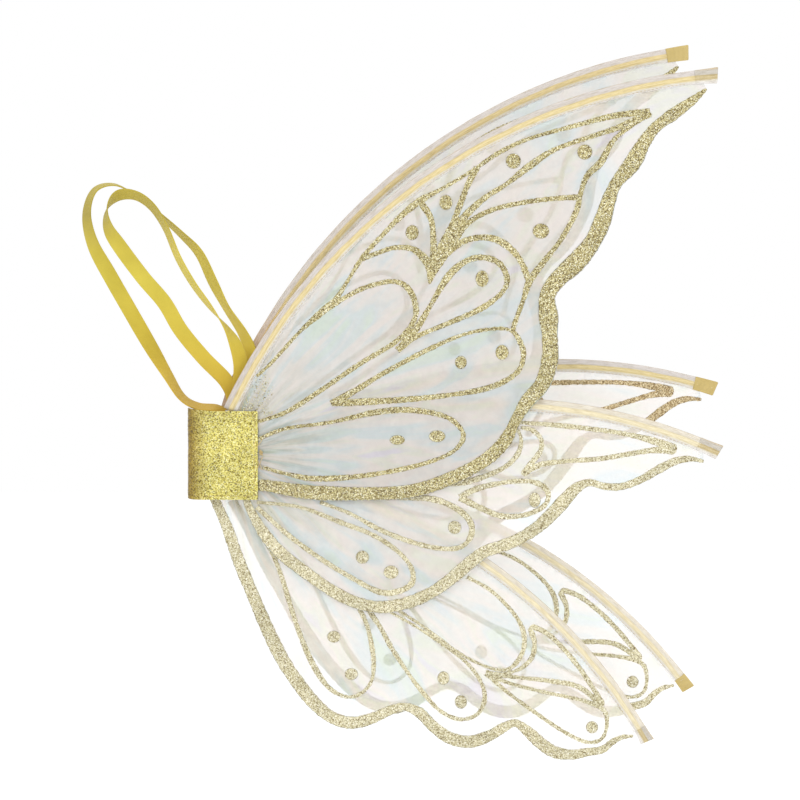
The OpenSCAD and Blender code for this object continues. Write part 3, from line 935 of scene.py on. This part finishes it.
def build_flakes(side, path, normals):
    """Loose-set glitter flakes over the outer face, each a tiny tilted hexagon."""
    rng = random.Random(side)
    soup = Soup()
    spans = [math.dist(a, b) for a, b in zip(path, path[1:])]
    total = sum(spans)
    for _ in range(FLAKES):
        u = rng.uniform(0.6, total - 0.6)
        low, high = wrap_edges(u)
        z = rng.uniform(low + 0.5, high - 0.5)
        i, left = 0, u
        while i < len(spans) - 1 and left > spans[i]:
            left -= spans[i]
            i += 1
        s = left / spans[i]
        out = normals[i].lerp(normals[i + 1], s).normalized()
        x = path[i][0] + (path[i + 1][0] - path[i][0]) * s
        y = path[i][1] + (path[i + 1][1] - path[i][1]) * s
        reach = CLOTH_T / 2 + 0.16 + wrap_bulge(u, z, (z - low) / (high - low))
        middle = Vector((x + out.x * reach, y + out.y * reach, z)) * MM
        lean = [rng.gauss(0, 0.22), rng.gauss(0, 0.22), rng.gauss(0, 0.3)]
        normal = (out.to_3d() + Vector(lean)).normalized()
        across = normal.cross(Vector((0.3, 0.2, 1))).normalized()
        up = normal.cross(across)
        r = rng.uniform(0.22, 0.42) * MM
        half = normal * 0.03 * MM
        ring = [(across * c + up * d) * r for c, d in around(6)]
        verts = [middle + p - half for p in ring] + [middle + p + half for p in ring]
        soup.add(verts, tube_faces(2, 6), [(u * MM, z * MM)] * 12)
    return soup.piece(f"{side}_wrap_flakes", CLOTH_GLITTER, smooth=False)


def build_wrap_stitches(side):
    """Stitches along the front edge, the top and the bottom of one panel."""
    sign = SIDES[side]
    soup = Soup()
    y = sign * (HALF_Y + CLOTH_T / 2 + 0.1)
    front, back, low, high = REACH - 2.5, BEND_X + 2, WRAP_LOW + 3, WRAP_HIGH - 3
    for from_x, from_z, to_x, to_z in ((front, low, front, high), (front, high, back, high),
                                       (back, low, front, low)):
        a, b = Vector((from_x, y, from_z)), Vector((to_x, y, to_z))
        count = int((b - a).length / WRAP_STITCH_PITCH)
        step = (b - a) / count
        for k in range(count):
            start, end = a + step * (k + 0.15), a + step * (k + 0.85)
            add_stitch(soup, start * MM, end * MM, Vector((0, sign, 0)), 0.22 * MM)
    return soup.piece(f"{side}_wrap_stitches", THREAD)


def build_thread_ends(side):
    """A knot and loose ends of the sewing thread at the front edge of the wrap."""
    sign = SIDES[side]
    rng = random.Random("knot" + side)
    soup = Soup()
    knot = []
    for k in range(22):
        knot.append((REACH + 2.6 + 1.6 * math.cos(k * 1.7) * (1 - k / 26), 15.5 + 0.7 * math.sin(k * 2.3),
                     1.5 + 2.2 * math.sin(k * 1.35) * (1 - k / 30)))
    runs = [knot]
    for z0, rise in ((-11, 9), (-4, -8), (6, 7)):
        run = [(REACH - 0.5, 15.3, z0)]
        for k in range(1, 7):
            run.append((REACH - 0.5 + k * 0.7 + rng.uniform(-0.3, 0.3), 15.3 + rng.uniform(-0.4, 0.4),
                        z0 + rise * k / 6 + rng.uniform(-0.5, 0.5)))
        runs.append(run)
    for run in runs:
        line = curve_through(run, 5)
        verts = []
        for i, p in enumerate(line):
            along = (line[min(len(line) - 1, i + 1)] - line[max(0, i - 1)]).normalized()
            u = along.cross(Vector((0.3, 1, 0.2))).normalized()
            v = along.cross(u)
            for c, d in around(6):
                q = p + (u * c + v * d) * THREAD_R
                verts.append(Vector((q.x, q.y * sign, q.z)) * MM)
        soup.add(verts, tube_faces(len(line), 6))
    return soup.piece(f"{side}_thread_ends", THREAD)


# -------- elastic arm loops
def loop_frame(line, i):
    """Middle, across and thickness directions of the elastic at one ring."""
    a, b = line[max(0, i - 1)], line[min(len(line) - 1, i + 1)]
    along = Vector((b[0] - a[0], b[2] - a[2], b[1] - a[1])).normalized()
    flat = along.cross(Vector((0, 1, 0))).normalized()
    lean = math.radians(line[i][3])
    across = (flat * math.cos(lean) + flat.cross(along).normalized() * math.sin(lean)).normalized()
    thick = along.cross(across).normalized()
    return Vector((line[i][0], line[i][2], line[i][1])), across, thick


def elastic_section():
    """Closed section of the flat elastic, with shallow grooves along both faces."""
    section = []
    points = 3 * ELASTIC_RIBS
    for face in (1, -1):
        for k in range(points + 1):
            s = -1 + 2 * k / points
            groove = 0.11 * (0.5 - 0.5 * math.cos(math.pi * ELASTIC_RIBS * (s + 1)))
            edge = 0.55 if k in (0, points) else 1
            section.append((s * face * ELASTIC_W / 2, face * (ELASTIC_T / 2 - groove) * edge))
    return section


def build_loop(side, points):
    """One arm loop and its length in metres."""
    line = curve_through(points, 10)
    section = elastic_section()
    verts, uvs, travelled = [], [], 0.0
    before = loop_frame(line, 0)[0]
    for i in range(len(line)):
        middle, across, thick = loop_frame(line, i)
        travelled += (middle - before).length
        before = middle
        for w, h in section:
            verts.append((middle + across * w + thick * h) * MM)
            uvs.append((travelled, w))
    obj = make_piece(f"{side}_elastic_loop", verts, tube_faces(len(line), len(section)), ELASTIC, uvs)
    return obj, travelled * MM


def build_side(side, loop_points):
    """The wrap's half, its flakes and threads, and the arm loop of one side."""
    wing = f"{side}_wing"
    cloth, flakes = build_wrap(side)
    stitches = build_wrap_stitches(side)
    if side == "right":
        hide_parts("right_wrap_panel", "spine_panel")
    else:
        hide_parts("left_wrap_panel")
    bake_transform(cloth)
    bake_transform(flakes)
    for piece in (stitches, build_thread_ends(side)):
        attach(piece, wing)
    loop, length = build_loop(side, loop_points)
    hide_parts(f"{side}_arm_strap", f"{side}_strap_ends")
    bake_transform(loop)


build_side("right", RIGHT_LOOP)
build_side("left", LEFT_LOOP)


# -------- CAD nodes that show as they are
def dress(node, material):
    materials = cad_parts[node].data.materials
    materials.clear()
    materials.append(material)


for side in SIDES:
    dress(f"{side}_lining", LINING)
    dress(f"{side}_root_binding", WEBBING)
    dress(f"{side}_root_tacks", THREAD)
    for name in LOBES:
        dress(f"{side}_{name}_rod", ROD)
dress("spine_webbing", WEBBING)


# -------- floor, light and camera
VIEW_CENTRE = (0.168, -0.022, 0.044)    # middle of the view, on the near wing
VIEW_WIDTH, VIEW_DISTANCE = 0.640, 3.6
FLOOR_SIZE, FLOOR_Z = 14, -0.32


def build_stage():
    mesh = bpy.data.meshes.new("floor")
    corners = [(x * FLOOR_SIZE, y * FLOOR_SIZE, FLOOR_Z) for x, y in ((-1, -1), (1, -1), (1, 1), (-1, 1))]
    mesh.from_pydata(corners, [], [(0, 1, 2, 3)])
    mesh.materials.append(Look("pale_floor").surface(
        Base_Color=(0.97, 0.97, 0.97, 1), Roughness=0.9, Specular_IOR_Level=0.0,
        Emission_Color=(1, 1, 1, 1), Emission_Strength=0.12))
    add_object("floor", mesh)


def build_light():
    scene = bpy.context.scene
    scene.world = bpy.data.worlds.new("studio")
    scene.world.use_nodes = True
    back = scene.world.node_tree.nodes["Background"]
    back.inputs["Color"].default_value = (1, 1, 1, 1)
    back.inputs["Strength"].default_value = 1.0
    scene.view_settings.view_transform = "Standard"
    scene.cycles.transparent_max_bounces = 32
    for name, place, size, power in (
            ("key", (-0.9, -1.6, 1.5), 1.2, 9.0), ("fill", (1.5, -1.4, 0.6), 1.5, 4.0),
            ("rim", (0.2, 1.6, 1.2), 1.2, 4.0)):
        data = bpy.data.lights.new(name, "AREA")
        data.size = size
        data.energy = power
        lamp = add_object(name, data)
        lamp.location = place
        lamp.rotation_euler = (Vector((0.17, 0, 0.04)) - Vector(place)).to_track_quat("-Z", "Y").to_euler()


def build_camera():
    data = bpy.data.cameras.new("view")
    data.sensor_width = 36
    data.lens = data.sensor_width * VIEW_DISTANCE / VIEW_WIDTH
    camera = add_object("view", data)
    camera.location = (VIEW_CENTRE[0], VIEW_CENTRE[1] - VIEW_DISTANCE, VIEW_CENTRE[2])
    camera.rotation_euler = (math.radians(90), 0, 0)
    bpy.context.scene.camera = camera


build_stage()
build_light()
build_camera()
